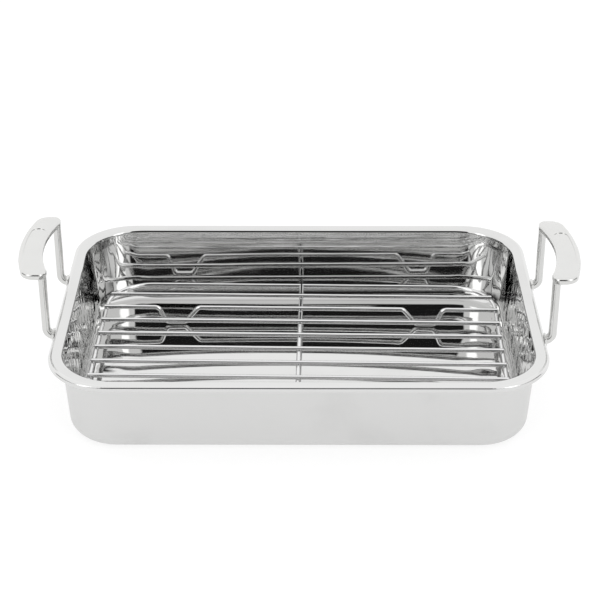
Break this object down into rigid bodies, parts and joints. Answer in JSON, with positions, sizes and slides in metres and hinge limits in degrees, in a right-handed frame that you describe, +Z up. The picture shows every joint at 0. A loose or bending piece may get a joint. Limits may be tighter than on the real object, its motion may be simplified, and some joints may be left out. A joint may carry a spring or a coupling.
{
  "type": "roasting pan with rack",
  "caption": "Rectangular steel roasting pan with a rolled rim, raised loop handles on its short ends and a loose wire rack that lifts out.",
  "frame": {"origin": "under the middle of the pan, on the surface that it stands on", "axes": "+X along the pan to the right-hand handle, +Y to the back long side, +Z up"},
  "size_m": [0.472, 0.287, 0.1195],
  "materials": {
    "pan_steel": "polished inside, fine satin outside",
    "handle_steel": "cast, satin",
    "rack_wire": "bright polished wire"
  },
  "bodies": {
    "pan": {"pan_shell": "pan_steel", "handle_left": "handle_steel", "handle_right": "handle_steel"},
    "rack": {"rack_frame": "rack_wire", "rack_brace": "rack_wire", "rack_bar_1": "rack_wire", "rack_bar_3": "rack_wire", "rack_bar_4": "rack_wire", "rack_bar_5": "rack_wire", "rack_bar_6": "rack_wire", "rack_bar_7": "rack_wire", "rack_bar_9": "rack_wire", "rack_foot_bar_back": "rack_wire", "rack_foot_bar_front": "rack_wire"}
  },
  "joints": [
    {"name": "rack_lift", "type": "slide", "parent": "pan", "child": "rack", "axis": [0, 0, 1], "range_m": [0, 0.125]}
  ]
}
